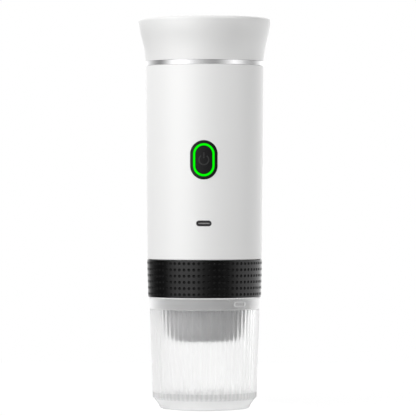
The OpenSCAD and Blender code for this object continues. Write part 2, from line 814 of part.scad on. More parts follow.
module button_bezel() {
    flange = 1.5;
    flange_t = 1.2;
    light_gap = 2 * shaft_gap;
    color("black") difference() {
        union() {
            intersection() {
                front_block(bezel_w, bezel_h, z_button, front_cut, wall_cut);
                housing_cone(bezel_proud);
            }
            intersection() {
                front_block(bezel_w + 2 * flange, bezel_h + 2 * flange, z_button, front_cut, wall_cut);
                translate([0, 0, z_housing]) cylinder(h = housing_h, r = disc_r);
            }
        }
        translate([0, 0, z_housing - cut]) cylinder(h = housing_h + 2 * cut, r = disc_r - flange_t);
        front_block(light_w + light_gap, light_h + light_gap, z_button, front_cut - cut, wall_cut + cut);
    }
}

module light_ring() {
    pocket_w = button_w + button_flange + run_gap;
    pocket_h = button_h + button_flange + run_gap;
    color("lime") difference() {
        intersection() {
            front_block(light_w, light_h, z_button, front_cut, y_light_back);
            housing_cone(bezel_proud - light_set);
        }
        front_block(light_in_w, light_in_h, z_button, front_cut - cut, y_light_back + cut);
        front_block(pocket_w, pocket_h, z_button, y_light_step, y_light_back + cut);
    }
}

module power_button() {
    color("black") union() {
        intersection() {
            front_block(button_w, button_h, z_button, front_cut, y_button_back);
            housing_cone(bezel_proud - button_set);
        }
        front_block(button_w + button_flange, button_h + button_flange, z_button,
            y_button_back - button_flange_t, y_button_back);
    }
}

module pump_damper() {
    damper_inset = 0.6;
    color("black") difference() {
        translate([0, y_pump, z_deck]) tube(pump_r - damper_inset, hose_r + hose_room, damper_t);
        at_pump_screws() translate([0, 0, z_deck - cut])
            cylinder(h = damper_t + 2 * cut, r = screw_r + fit_gap);
    }
}

module pump_head() {
    outlet_depth = 5;
    inlet_depth = 4;
    color("dimgray") difference() {
        union() {
            translate([0, y_pump, z_pump]) cylinder(h = pump_h, r = pump_r);
            translate([0, y_pump, z_pump - barb_len]) cylinder(h = barb_len + root, r = barb_r);
            translate([0, y_pump, z_inlet]) rotate([0, -90, 0]) cylinder(h = pump_r + barb_len, r = barb_r);
        }
        translate([0, y_pump, z_motor - cam_chamber_h])
            cylinder(h = cam_chamber_h + cut, r = cam_r + cam_throw + cam_room);
        translate([0, y_pump, z_pump - barb_len - cut])
            cylinder(h = barb_len + outlet_depth + cut, r = barb_bore_r);
        translate([inlet_depth - pump_r, y_pump, z_inlet]) rotate([0, -90, 0])
            cylinder(h = inlet_depth + barb_len + cut, r = barb_bore_r);
        at_pump_screws() translate([0, 0, z_pump - cut])
            cylinder(h = pump_screw_bite + 2 * cut, r = screw_r + fit_gap);
    }
}

module pump_screws() {
    color("silver") at_pump_screws() translate([0, 0, z_lower])
        screw(frame_t + damper_t - screw_head_h + pump_screw_bite);
}

module pump_motor() {
    end_boss_r = 4;
    end_boss_h = 1.5;
    color("silver") difference() {
        union() {
            translate([0, y_pump, z_motor + fit_gap]) cylinder(h = motor_len - fit_gap, r = motor_r);
            translate([0, y_pump, z_motor_top - root]) cylinder(h = end_boss_h + root, r = end_boss_r);
            for (s = [-1, 1]) translate([s * terminal_x, y_pump, z_motor_top - root])
                flat_bar([terminal_t, terminal_w, terminal_h + root]);
        }
        translate([0, y_pump, z_motor - cut]) cylinder(h = motor_len / 2 + cut, r = shaft_r + shaft_gap);
    }
}

module drive_shaft() {
    z_low = z_cam - shaft_over;
    color("silver") translate([0, y_pump, z_low])
        cylinder(h = z_motor + motor_len / 2 - run_gap - z_low, r = shaft_r);
}

module eccentric_cam() {
    color("gold") translate([0, y_pump, z_cam]) difference() {
        translate([cam_throw, 0, 0]) cylinder(h = cam_h, r = cam_r);
        translate([0, 0, -cut]) cylinder(h = cam_h + 2 * cut, r = shaft_r + shaft_gap);
    }
}

// Two leads from the motor's terminals to the back of the board
module motor_leads() {
    lead_r = 0.6;
    bend = 3;
    z_start = z_motor_top + run_gap;
    z_bend = z_motor_top + terminal_h;
    y_start = y_pump - terminal_w / 2 - lead_r - fit_gap;
    y_bend = y_start - bend;
    color("red") for (s = [-1, 1]) translate([s * terminal_x, 0, 0]) {
        translate([0, y_start, z_bend]) rotate([180, 0, 0])
            cylinder(h = z_bend - z_start, r = lead_r, $fn = 24);
        translate([0, y_bend, z_bend]) rotate([90, 0, 90]) rotate_extrude(angle = 90)
            translate([bend, 0]) circle(lead_r, $fn = 24);
        translate([0, y_bend, z_bend + bend]) rotate([90, 0, 0])
            cylinder(h = y_bend - y_board_back, r = lead_r, $fn = 24);
    }
}

// The inlet route: down from the tank, a quarter bend, and in to the pump's barb
module inlet_route(r) {
    x_bend = x_inlet + hose_bend;
    z_bend = z_inlet + hose_bend;
    translate([x_inlet, y_pump, z_bend]) cylinder(h = z_hose_top - z_bend, r = r);
    translate([x_bend, y_pump, z_bend]) rotate([90, 0, 0]) rotate(180) rotate_extrude(angle = 90)
        translate([hose_bend, 0]) circle(r);
    translate([x_bend, y_pump, z_inlet]) rotate([0, 90, 0])
        cylinder(h = -pump_r - fit_gap - x_bend, r = r);
}

module inlet_hose() {
    color("ivory") difference() {
        inlet_route(hose_r);
        inlet_route(hose_bore_r);
    }
}

module outlet_hose() {
    z_low = z_housing + outlet_boss_over + fit_gap;
    color("ivory") translate([0, y_pump, z_low]) tube(hose_r, hose_bore_r, z_pump - fit_gap - z_low);
}

module heater_plate() {
    color("silver") translate([0, 0, z_heater]) cylinder(h = heater_t, r = heater_r);
}

module thermostat() {
    color("black") translate([0, 0, z_heater - thermostat_h]) cylinder(h = thermostat_h, r = thermostat_r);
}

module water_tank() {
    out_r = tank_r + tank_wall;
    in_floor = z_tank + tank_wall;
    spout_h = 12;
    color("silver") difference() {
        union() {
            rotate_extrude() polygon(concat(
                [[0, z_tank]],
                arc(tank_r - tank_round, in_floor + tank_round, tank_round + tank_wall, -90, 0, arc_steps),
                [[out_r, z_rim], [neck_r, z_rim], [neck_r, z_rim + tank_wall], [tank_r, z_rim + tank_wall]],
                arc(tank_r - tank_round, in_floor + tank_round, tank_round, 0, -90, arc_steps),
                [[0, in_floor]]));
            translate([x_inlet, y_pump, z_tank - spout_h])
                cylinder(h = spout_h + tank_wall / 2, r = barb_r);
        }
        translate([x_inlet, y_pump, z_tank - spout_h - cut])
            cylinder(h = spout_h + 3 * cut, r = barb_bore_r);
    }
}

module tank_collar() {
    collar_in_r = tank_r + tank_wall + fit_gap;
    color("whitesmoke") rotate_extrude() polygon([
        [collar_in_r, z_ring - plug_h], [disc_r, z_ring - plug_h], [disc_r, z_ring], [flange_r, z_ring],
        [flange_r, z_lid - seam], [neck_r, z_lid - seam], [neck_r, z_rim], [collar_in_r, z_rim]]);
}

module trim_ring() {
    bevel = 0.3;
    ring_in_r = flange_r + fit_gap;
    color("silver") rotate_extrude() polygon([
        [ring_in_r, z_ring], [ring_r - bevel, z_ring], [ring_r, z_ring + bevel],
        [ring_r, z_lid - bevel], [ring_r - bevel, z_lid], [ring_in_r, z_lid]]);
}

module lid_seal() {
    color("ivory") translate([0, 0, z_seal]) tube(neck_r, tank_r, lid_seal_t);
}

module lid_liner() {
    color("whitesmoke") rotate_extrude() polygon([
        [liner_bore_r, z_lid + 2 * seam], [liner_r, z_lid + 2 * seam],
        [liner_r, z_liner_top], [vent_r + fit_gap, z_liner_top],
        [vent_r + fit_gap, z_liner_disc], [liner_bore_r, z_liner_disc]]);
}

// Soft mushroom plug that lets air in as the water is drawn off
module vent_valve() {
    head_t = 1.4;
    head_taper = 1;
    barb = 1.6;
    color("ivory") rotate_extrude() polygon([
        [0, z_liner_disc - head_t], [vent_head_r - head_taper, z_liner_disc - head_t],
        [vent_head_r, z_liner_disc - fit_gap], [vent_r, z_liner_disc - fit_gap],
        [vent_r, z_liner_top + fit_gap], [vent_r + barb, z_liner_top + fit_gap],
        [vent_r, z_liner_top + head_t], [0, z_liner_top + head_t]]);
}

module top_lid() {
    z_wide = z_top - lid_round;
    bore_over = 2;
    hollow_flare = 1.5;
    round_from = 15;
    color("white") rotate_extrude() polygon(concat(
        [[lid_bore_r, z_lid + seam], [lid_waist_r - edge_bevel, z_lid + seam]],
        bezier([lid_waist_r, z_lid + seam + edge_bevel], [lid_waist_r + flare_lean, z_lid + flare_low],
            [lid_rim_r - flare_tuck, z_wide - flare_high], [lid_rim_r, z_wide], 16),
        arc(lid_rim_r - lid_round, z_wide, lid_round, round_from, 90, arc_steps),
        [[0, z_top], [0, z_top - lid_top_t], [lid_bore_r + hollow_flare, z_top - lid_top_t],
         [lid_bore_r, z_liner_top + bore_over]]));
}

cup();
grip_band();
brew_chamber();
filter_basket();
cup_seal();
brew_gasket();
main_housing();
base_plate();
base_screws();
shower_screen();
lower_frame();
upper_frame();
frame_screws();
battery_cells();
cell_links();
control_board();
board_chips();
status_leds();
tact_switch();
usb_socket();
usb_tongue();
button_bezel();
light_ring();
power_button();
pump_damper();
pump_head();
pump_screws();
pump_motor();
drive_shaft();
eccentric_cam();
motor_leads();
inlet_hose();
outlet_hose();
heater_plate();
thermostat();
water_tank();
tank_collar();
trim_ring();
lid_seal();
lid_liner();
vent_valve();
top_lid();
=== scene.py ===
# %% [markdown]
# # A portable espresso maker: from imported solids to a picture
#
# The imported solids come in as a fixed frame. Every body, node and joint already has its place, and
# nothing below moves a solid. This script adds what solids leave out: the dimples of the grip, a fine
# joint under the lid, the screw threads, the sign on the button, the contacts in the charging socket, and
# the finish of every surface. Lengths are in metres, Z is up, and the button faces -Y.

# %% Load the frame
import json
import math

import bmesh
import bpy
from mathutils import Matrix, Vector


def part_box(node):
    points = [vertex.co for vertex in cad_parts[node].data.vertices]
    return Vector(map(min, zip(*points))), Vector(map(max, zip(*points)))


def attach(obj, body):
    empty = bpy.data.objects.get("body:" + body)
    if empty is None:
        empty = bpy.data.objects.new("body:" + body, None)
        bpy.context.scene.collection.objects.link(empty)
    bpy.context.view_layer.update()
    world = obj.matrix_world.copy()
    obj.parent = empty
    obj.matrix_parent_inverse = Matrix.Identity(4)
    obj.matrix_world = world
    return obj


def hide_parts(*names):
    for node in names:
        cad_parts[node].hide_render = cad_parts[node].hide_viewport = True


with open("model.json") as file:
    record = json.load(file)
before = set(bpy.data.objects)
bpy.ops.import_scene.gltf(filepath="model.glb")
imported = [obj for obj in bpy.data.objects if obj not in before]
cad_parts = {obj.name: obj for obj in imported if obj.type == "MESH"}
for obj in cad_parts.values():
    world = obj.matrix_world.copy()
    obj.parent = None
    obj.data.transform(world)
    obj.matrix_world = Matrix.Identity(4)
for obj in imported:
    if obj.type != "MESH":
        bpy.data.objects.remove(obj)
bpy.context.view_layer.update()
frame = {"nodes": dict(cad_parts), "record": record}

MM = 0.001
nodes = frame["nodes"]
slot_of = {row["node"]: row["material_slot"] for row in frame["record"]["subparts"]}
print("nodes", len(nodes), "slots", len(set(slot_of.values())))


# %% [markdown]
# ## Measuring the solids
# A piece made here has to sit on the solids. Its sizes could be typed in, but then it would no longer fit
# if the solids changed, so they are read from the frame where they can be. A turned piece needs only two
# facts: its lowest and highest point, and its radius at a height.

# %% Measure a node
NEAR = 0.5 * MM


def levels(node):
    """The lowest and highest point of a node."""
    low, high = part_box(node)
    return low.z, high.z


def radii_near(node, height):
    """The distances from the axis of a node's points near a height."""
    points = [v.co for v in nodes[node].data.vertices if abs(v.co.z - height) < NEAR]
    return [math.hypot(p.x, p.y) for p in points]


def radius_at(node, height):
    """The largest radius of a node near a height."""
    return max(radii_near(node, height))


def bore_at(node, height):
    """The smallest radius of a node near a height."""
    return min(radii_near(node, height))


# %% [markdown]
# ## Node trees written as sums
# Materials and shapes are node trees. Written link by link they are long and hard to read, so a `Wire`
# wraps one output socket and takes part in sums, and a `Graph` adds any other node: its settings first,
# then its inputs.

# %% Graph and Wire
class Wire:
    """An output socket that can be added, multiplied and compared."""

    def __init__(self, graph, socket):
        self.graph = graph
        self.socket = socket

    def out(self, name):
        """Another output of the same node."""
        return Wire(self.graph, self.socket.node.outputs[name])

    def calc(self, operation, *others):
        """Any other sum of this wire, by the Math node's own word."""
        return self.graph.calc(operation, self, *others)

    def __add__(self, other):
        return self.graph.calc("ADD", self, other)

    def __sub__(self, other):
        return self.graph.calc("SUBTRACT", self, other)

    def __mul__(self, other):
        return self.graph.calc("MULTIPLY", self, other)

    def __truediv__(self, other):
        return self.graph.calc("DIVIDE", self, other)

    def __radd__(self, other):
        return self.graph.calc("ADD", other, self)

    def __rsub__(self, other):
        return self.graph.calc("SUBTRACT", other, self)

    def __rmul__(self, other):
        return self.graph.calc("MULTIPLY", other, self)

    def __rtruediv__(self, other):
        return self.graph.calc("DIVIDE", other, self)


class Graph:
    """A node tree that grows by calls and sums."""

    def __init__(self, tree):
        self.tree = tree

    def plug(self, socket, value):
        """Links a wire to an input, or sets a plain value on it."""
        if isinstance(value, Wire):
            self.tree.links.new(value.socket, socket)
        else:
            socket.default_value = value

    def add(self, kind, settings=None, inputs=None, output=0):
        """A new node with its settings and inputs, as a wire from one of its outputs."""
        node = self.tree.nodes.new(kind)
        for name, value in (settings or {}).items():
            setattr(node, name, value)
        for key, value in (inputs or {}).items():
            self.plug(node.inputs[key], value)
        return Wire(self, node.outputs[output] if node.outputs else None)

    def calc(self, operation, *values):
        """A Math node."""
        return self.add("ShaderNodeMath", {"operation": operation}, dict(enumerate(values)))

    def ramp(self, value, low, high, start=0.0, end=1.0):
        """A smooth step from start to end while value goes from low to high."""
        sizes = {0: value, 1: low, 2: high, 3: start, 4: end}
        return self.add("ShaderNodeMapRange", {"interpolation_type": "SMOOTHSTEP"}, sizes)

    def place(self):
        """The piece's own coordinates, with outputs X, Y and Z."""
        own = self.add("ShaderNodeTexCoord", output="Object")
        return self.add("ShaderNodeSeparateXYZ", inputs={0: own})


def hypotenuse(one, other):
    """The length of two wires at right angles."""
    return (one * one + other * other).calc("SQRT")


def any_of(count):
    """One where a count of bounces is above nothing, else nothing."""
    return count.calc("GREATER_THAN", 0.5)


# %% [markdown]
# ## Finishes
# Each slot of the record gets one procedural material. Moulded, painted and sheet-metal surfaces share
# one recipe: a base colour with a slight mottle, a roughness that varies a little, and a fine relief. A
# flat colour would look like a drawing. All of it is on Object coordinates, so that the pattern stays
# with the piece when it moves. Stretching the noise along one axis turns it into brushing.

# %% The shared recipe
MOTTLE_COARSER = 12
MOTTLE_DETAIL = 2.0
GRAIN_DETAIL = 3.0
RELIEF_DEPTH = 0.2 * MM
# A Mix node has its sockets once for each kind of data. These are the ones for colours.
MIX_FACTOR, MIX_ONE, MIX_OTHER, MIX_RESULT = 0, 6, 7, 2


def finish(name, colour, roughness, metallic=0.0, grain=900.0, stretch=(1, 1, 1), mottle=0.06,
           spread=0.08, relief=0.03, **constants):
    """A material with a fine grain in its colour, roughness and relief."""
    material = bpy.data.materials.new(name)
    material.use_nodes = True
    graph = Graph(material.node_tree)
    shader = material.node_tree.nodes["Principled BSDF"]
    place = graph.add("ShaderNodeTexCoord", output="Object")
    place = graph.add("ShaderNodeMapping", inputs={"Vector": place, "Scale": stretch})
    fine = graph.add("ShaderNodeTexNoise", inputs={
        "Vector": place, "Scale": grain, "Detail": GRAIN_DETAIL})
    broad = graph.add("ShaderNodeTexNoise", inputs={
        "Vector": place, "Scale": grain / MOTTLE_COARSER, "Detail": MOTTLE_DETAIL})
    shade = 1 - mottle / 2 + mottle * broad
    tint = graph.add("ShaderNodeMix", {"data_type": "RGBA", "blend_type": "MULTIPLY"},
                     {MIX_FACTOR: 1.0, MIX_ONE: (*colour, 1.0), MIX_OTHER: shade}, output=MIX_RESULT)
    bump = graph.add("ShaderNodeBump", inputs={
        "Strength": relief, "Distance": RELIEF_DEPTH, "Height": fine})
    graph.plug(shader.inputs["Base Color"], tint)
    graph.plug(shader.inputs["Roughness"], roughness + spread * (broad - 0.5))
    graph.plug(shader.inputs["Normal"], bump)
    shader.inputs["Metallic"].default_value = metallic
    for key, value in constants.items():
        shader.inputs[key.replace("_", " ")].default_value = value
    return material


# %% [markdown]
# ## The cup's plastic
# The cup is clear where the ribs are, frosted at the smooth collar, and whiter towards its foot. The
# collar's frost is painted grey: partly the grey neck behind it, partly painted shade where the neck keeps
# out the light from behind. Clear plastic bends light and milky plastic scatters it, so the two shaders are
# mixed, and the share follows the height on the cup. The clear one is slightly rough: it softens the far
# wall and leaves the funnel, close behind the near wall, sharp. Where the collar is seen at a slant, a
# third shader by Layer Weight paints a white glow on it, in place of light from behind shining through the
# frost.
# The cup's rim is painted white and glows a little, a painted highlight. Just above the foot the wall is
# thick, and painted shade darkens it, with a dark bar for each rib. That painted shade lies on the outside
# of the wall only: tinted on every face, the far wall's bars would show through the near one and blur them.
# The rim of the oval mark is painted white, a painted highlight for the light its raised edge catches. The
# distance from the mark's middle line says where it runs.

# %% The oval mark
MARK_ANGLE = math.radians(40)
MARK_RADIUS = 33.2 * MM
MARK_MIDDLE = 62.95 * MM
MARK_WIDTH = 8.5 * MM
MARK_HEIGHT = 2.9 * MM
MARK_RIM = 0.4 * MM
MARK_BLEND = 0.1 * MM


def mark_reach(height, turn):
    """The distance on the cup's wall from the middle line of the oval mark."""
    along = ((turn - MARK_ANGLE) * MARK_RADIUS).calc("ABSOLUTE") - (MARK_WIDTH - MARK_HEIGHT) / 2
    return hypotenuse(along.calc("MAXIMUM", 0.0), height - MARK_MIDDLE)


# The rim of the oval mark is painted white, a painted highlight for the light its raised edge catches.
def on_rim(graph, reach):
    """One on the rim of the oval mark, nothing elsewhere."""
    outer = MARK_HEIGHT / 2
    inner = outer - MARK_RIM
    past_inner = graph.ramp(reach, inner - MARK_BLEND, inner)
    return past_inner * graph.ramp(reach, outer, outer + MARK_BLEND, 1.0, 0.0)


# %% The milky share
MILKY_FOOT = 0.15
MILKY_STEPS = ((5.5 * MM, 0.13), (9.8 * MM, 0.03))
MILKY_BLEND = 0.25 * MM
COLLAR_MILKY = 0.4


def milky_share(graph, height, white, frost):
    """How milky the wall is: less with each step up, wholly where painted white as a highlight, partly
    where frosted.
    """
    share = MILKY_FOOT
    below = MILKY_FOOT
    for level, above in MILKY_STEPS:
        share = share + graph.ramp(height, level - MILKY_BLEND, level + MILKY_BLEND, 0.0, above - below)
        below = above
    return share + white * (1 - share) + COLLAR_MILKY * frost


# %% Clear, milky and frosted
CLEAR_TONE = 0.99
CLEAR_ROUGHNESS = 0.3
CLEAR_IOR = 1.2
MILKY_TONE = 0.95
MILKY_ROUGHNESS = 0.4
MILKY_SHEEN = 1.0
MILKY_SHEEN_ROUGHNESS = 0.6
COLLAR_LEVELS = (59.2 * MM, 59.7 * MM)
# The collar's frost is painted grey: partly the grey neck behind it, partly painted shade.
COLLAR_NECK_AND_SHADE_TONE = 0.55
COLLAR_ROUGHNESS = 1.0
# Painted highlight: between these heights the cup's rim is painted white and glows.
PAINTED_RIM_LEVELS = (66.1 * MM, 66.25 * MM)
PAINTED_RIM_GLOW = 0.5
# Painted glow: the collar seen at a slant is painted white and shines of itself, for light from behind.
SLANT_FACING = (0.17, 0.85)
SLANT_PAINTED_WHITE = 0.9
SLANT_TONE = 0.2
SLANT_ROUGHNESS = 0.6
SLANT_PAINTED_GLOW = 0.73
SLANT_OUTSIDE = (32.0 * MM, 32.4 * MM)
SLANT_OFF_MARK = (MARK_HEIGHT / 2 + 0.2 * MM, MARK_HEIGHT / 2 + 0.5 * MM)
SLAB_RISE = (5.4 * MM, 5.9 * MM)
SLAB_FALL = (9.4 * MM, 10.0 * MM)
SLAB_OUTSIDE = (29.8 * MM, 30.0 * MM)
# Painted shade: the outside of the thick wall above the foot gets a darker tint, with dark bars.
SLAB_PAINTED_SHADE = 0.7
SLAB_ROUGHNESS = 0.5
BAR_PAINTED_SHADE = 0.09
BAR_COUNT = 68


def clear_plastic():
    """Clear plastic, milky at the foot, frosted at the collar, with a white, glowing rim and oval mark as
    painted highlights, a painted glow at a slant and painted shade above the foot.
    """
    material = finish("clear_plastic", (1.0, 1.0, 1.0), CLEAR_ROUGHNESS, mottle=0.0, relief=0.0,
                      Transmission_Weight=1.0, IOR=CLEAR_IOR)
    graph = Graph(material.node_tree)
    clear = material.node_tree.nodes["Principled BSDF"]
    place = graph.place()
    height = place.out("Z")
    turn = place.out("X").calc("ARCTAN2", -1 * place.out("Y"))
    radius = hypotenuse(place.out("X"), place.out("Y"))
    outside = 1 - graph.add("ShaderNodeNewGeometry", output="Backfacing")
    reach = mark_reach(height, turn)
    # Painted highlight: the cup's rim and the oval mark's rim are painted white; the cup's rim glows too.
    edge = graph.ramp(height, *PAINTED_RIM_LEVELS)
    white = edge.calc("MAXIMUM", on_rim(graph, reach))
    frost = graph.ramp(height, *COLLAR_LEVELS) * (1 - white)
    # Milky wall: frost painted grey at the collar, partly painted shade; the cup's rim glows, a painted
    # highlight.
    milky = graph.add("ShaderNodeBsdfPrincipled", inputs={
        "Base Color": MILKY_TONE + frost * (COLLAR_NECK_AND_SHADE_TONE - MILKY_TONE), "Roughness": MILKY_ROUGHNESS,
        "Sheen Weight": MILKY_SHEEN, "Sheen Roughness": MILKY_SHEEN_ROUGHNESS,
        "Emission Color": edge, "Emission Strength": PAINTED_RIM_GLOW})
    # Painted glow: a white shader that shines of itself, mixed in where the collar is seen at a slant.
    slant_painted_glow = graph.add("ShaderNodeBsdfPrincipled", inputs={
        "Base Color": (SLANT_TONE, SLANT_TONE, SLANT_TONE, 1), "Roughness": SLANT_ROUGHNESS,
        "Emission Color": (1, 1, 1, 1), "Emission Strength": SLANT_PAINTED_GLOW})

    # Painted shade on the thick wall above the foot, with a dark bar for each rib.
    painted_slab_shade = graph.ramp(height, *SLAB_RISE) * graph.ramp(height, *SLAB_FALL, 1.0, 0.0)
    painted_slab_shade = painted_slab_shade * graph.ramp(radius, *SLAB_OUTSIDE) * outside
    bars = BAR_PAINTED_SHADE * (turn * BAR_COUNT).calc("COSINE")
    graph.plug(clear.inputs["Base Color"], CLEAR_TONE + painted_slab_shade * (SLAB_PAINTED_SHADE - CLEAR_TONE + bars))
    roughness = graph.ramp(height, *SLAB_FALL, SLAB_ROUGHNESS, CLEAR_ROUGHNESS)
    graph.plug(clear.inputs["Roughness"], roughness + frost * (COLLAR_ROUGHNESS - CLEAR_ROUGHNESS))

    # Where the painted glow goes: the collar's outside, off the mark, seen at a slant.
    facing = graph.add("ShaderNodeLayerWeight", output="Facing")
    painted_glow_share = SLANT_PAINTED_WHITE * frost * graph.ramp(reach, *SLANT_OFF_MARK) * graph.ramp(facing, *SLANT_FACING)
    painted_glow_share = painted_glow_share * graph.ramp(radius, *SLANT_OUTSIDE) * outside
    wall = graph.add("ShaderNodeMixShader", inputs={
        0: milky_share(graph, height, white, frost), 1: Wire(graph, clear.outputs["BSDF"]), 2: milky})
    wall = graph.add("ShaderNodeMixShader", inputs={0: painted_glow_share, 1: wall, 2: slant_painted_glow})
    graph.plug(material.node_tree.nodes["Material Output"].inputs["Surface"], wall)
    return material


# %% [markdown]
# ## The light guide
# A clear ring with a lamp behind it glows in the middle of its breadth and stays dark at its edges. A lamp
# behind clear plastic takes many samples to look smooth, so here the ring itself glows. It is a rounded
# oblong, and the distance from the oblong's middle line says where on its breadth a point lies.

# %% A glow across the ring
GUIDE_GREEN = 0.3
GUIDE_ROUGHNESS = 0.4
GUIDE_SPECULAR = 0.05
GUIDE_GLOW = 0.75
GUIDE_BRIGHT = 0.5 * MM
GUIDE_DARK = 0.75 * MM
GUIDE_BREADTH = 1.7 * MM


def light_guide():
    """Green that glows in the middle of the ring's breadth."""
    material = finish("light_guide", (0.0, GUIDE_GREEN, 0.0), GUIDE_ROUGHNESS,
                      Emission_Strength=GUIDE_GLOW, Specular_IOR_Level=GUIDE_SPECULAR)
    graph = Graph(material.node_tree)
    shader = material.node_tree.nodes["Principled BSDF"]
    low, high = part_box("light_ring")
    half_width = (high.x - low.x) / 2
    half_height = (high.z - low.z) / 2
    place = graph.place()
    rise = (place.out("Z") - (low.z + high.z) / 2).calc("ABSOLUTE") - (half_height - half_width)
    reach = hypotenuse(place.out("X"), rise.calc("MAXIMUM", 0.0))
    off_middle = (reach - (half_width - GUIDE_BREADTH / 2)).calc("ABSOLUTE")
    glow = graph.ramp(off_middle, GUIDE_BRIGHT, GUIDE_DARK, 1.0, 0.0)
    for name, green in (("Base Color", GUIDE_GREEN), ("Emission Color", 1.0)):
        graph.plug(shader.inputs[name], graph.add("ShaderNodeCombineColor", inputs={"Green": green * glow}))
    return material


# %% [markdown]
# ## One material for each slot
# Outside there are satin white mouldings, a polished ring, black gloss and the rubbery grip. The pieces
# inside show when the machine is taken apart, so they have finishes as well. A table keeps them together,
# where they can be compared. The lid has the body's white with painted shade: a shade darker, as its flared
# side faces down, away from the light.

# %% Every finish
WHITE = (0.84, 0.84, 0.835)
# Painted shade: the lid's white is a shade darker, as its flared side faces down.
LID_PAINTED_SHADE = 0.965
LOOKS = {
    "white_inner": dict(colour=(0.72, 0.72, 0.71), roughness=0.5, mottle=0.02),
    "grey_plastic": dict(colour=(0.53, 0.53, 0.535), roughness=0.45, mottle=0.04, Sheen_Weight=0.8,
                         Sheen_Roughness=0.4),
    "inner_plastic": dict(colour=(0.05, 0.055, 0.06), roughness=0.55),
    "black_grip": dict(colour=(0.0013, 0.0013, 0.0014), roughness=0.2, grain=2200, relief=0.03,
                       Specular_IOR_Level=0.375),
    "black_gloss": dict(colour=(0.006, 0.006, 0.0065), roughness=0.25, relief=0.02, Specular_IOR_Level=0.3),
    "black_rubber": dict(colour=(0.02, 0.02, 0.02), roughness=0.75, relief=0.12),
    "chip_black": dict(colour=(0.018, 0.018, 0.02), roughness=0.5, relief=0.1),
    "grey_silicone": dict(colour=(0.53, 0.53, 0.535), roughness=0.5, relief=0.08),
    "white_silicone": dict(colour=(0.7, 0.69, 0.66), roughness=0.55, relief=0.06),
    "cell_sleeve": dict(colour=(0.03, 0.22, 0.16), roughness=0.35, stretch=(1, 1, 0.1)),
    "lead_red": dict(colour=(0.5, 0.02, 0.02), roughness=0.4),
    "chrome_trim": dict(colour=(0.88, 0.88, 0.885), roughness=0.22, metallic=1.0, stretch=(1, 1, 0.1),
                        relief=0.01),
    "bright_steel": dict(colour=(0.62, 0.62, 0.63), roughness=0.24, metallic=1.0, stretch=(1, 1, 12),
                         relief=0.05),
    "dark_metal": dict(colour=(0.16, 0.16, 0.17), roughness=0.35, metallic=1.0, relief=0.04),
    "motor_can": dict(colour=(0.55, 0.55, 0.56), roughness=0.32, metallic=1.0, stretch=(1, 1, 0.2),
                      relief=0.05),
    "heater_metal": dict(colour=(0.6, 0.58, 0.55), roughness=0.4, metallic=1.0, relief=0.1),
    "cam_brass": dict(colour=(0.72, 0.5, 0.2), roughness=0.25, metallic=1.0, relief=0.03),
    "board_green": dict(colour=(0.012, 0.09, 0.035), roughness=0.3, mottle=0.4, grain=500),
}


def satin_white(name, tone):
    """The white of the outer mouldings, darkened by a tone: on the lid, painted shade."""
    return finish(name, tuple(tone * part for part in WHITE), 0.36, grain=1400, mottle=0.012, relief=0.04,
                  Specular_IOR_Level=1.0)


finishes = {name: finish(name, **look) for name, look in LOOKS.items()}
finishes["white_shell"] = satin_white("white_shell", 1.0)
finishes["light_guide"] = light_guide()
finishes["clear_plastic"] = clear_plastic()
own_finishes = {
    "usb_tongue": finish("tongue_plastic", (0.27, 0.27, 0.275), 0.5),
    # The lid: the body's white with painted shade.
    "top_lid": satin_white("white_lid_painted_shade", LID_PAINTED_SHADE),
}
for name, solid in nodes.items():
    solid.data.materials.clear()
    solid.data.materials.append(own_finishes.get(name, finishes[slot_of[name]]))
print("finishes", len(finishes) + len(own_finishes))


# %% [markdown]
# ## Making pieces
# A mesh can be made by Blender's operators, point by point, or by Geometry Nodes. Operators depend on
# what is selected, so this script uses the other two. `lathe` turns an outline round the Z axis. `grow`
# puts a Geometry Nodes tree on a mesh, sets its named sizes, and keeps the result as a plain mesh. `weld`
# then closes the seams, and `settle` says which body the piece moves with.

# %% Lathe, trees and grown pieces
def mesh_object(name, mesh):
    """An object in the scene that shows a mesh."""
    piece = bpy.data.objects.new(name, mesh)
    bpy.context.scene.collection.objects.link(piece)
    return piece


def lathe(name, outline, steps):
    """A ring of quads round the Z axis from an open outline of (radius, height) points."""
    verts = []
    for i in range(steps):
        angle = 2 * math.pi * i / steps
        verts += [(r * math.cos(angle), r * math.sin(angle), z) for r, z in outline]
    count = len(outline)
    faces = []
    for i in range(steps):
        here = i * count
        there = (i + 1) % steps * count
        faces += [(here + k, there + k, there + k + 1, here + k + 1) for k in range(count - 1)]
    mesh = bpy.data.meshes.new(name)
    mesh.from_pydata(verts, [], faces)
    return mesh


def new_tree(name, sizes):
    """A Geometry Nodes tree with named sizes: its graph and a wire for each input."""
    tree = bpy.data.node_groups.new(name, "GeometryNodeTree")
    tree.interface.new_socket("Geometry", in_out="INPUT", socket_type="NodeSocketGeometry")
    for label, kind in sizes.items():
        tree.interface.new_socket(label, in_out="INPUT", socket_type=kind)
    tree.interface.new_socket("Geometry", in_out="OUTPUT", socket_type="NodeSocketGeometry")
    graph = Graph(tree)
    first = graph.add("NodeGroupInput")
    return graph, {label: first.out(label) for label in ["Geometry", *sizes]}


def close_tree(graph, shape, material):
    """Ends a tree: instances made real, material set, result handed on."""
    shape = graph.add("GeometryNodeRealizeInstances", inputs={0: shape})
    shape = graph.add("GeometryNodeSetMaterial", inputs={"Geometry": shape, "Material": material})
    graph.add("NodeGroupOutput", inputs={"Geometry": shape})
    return graph.tree


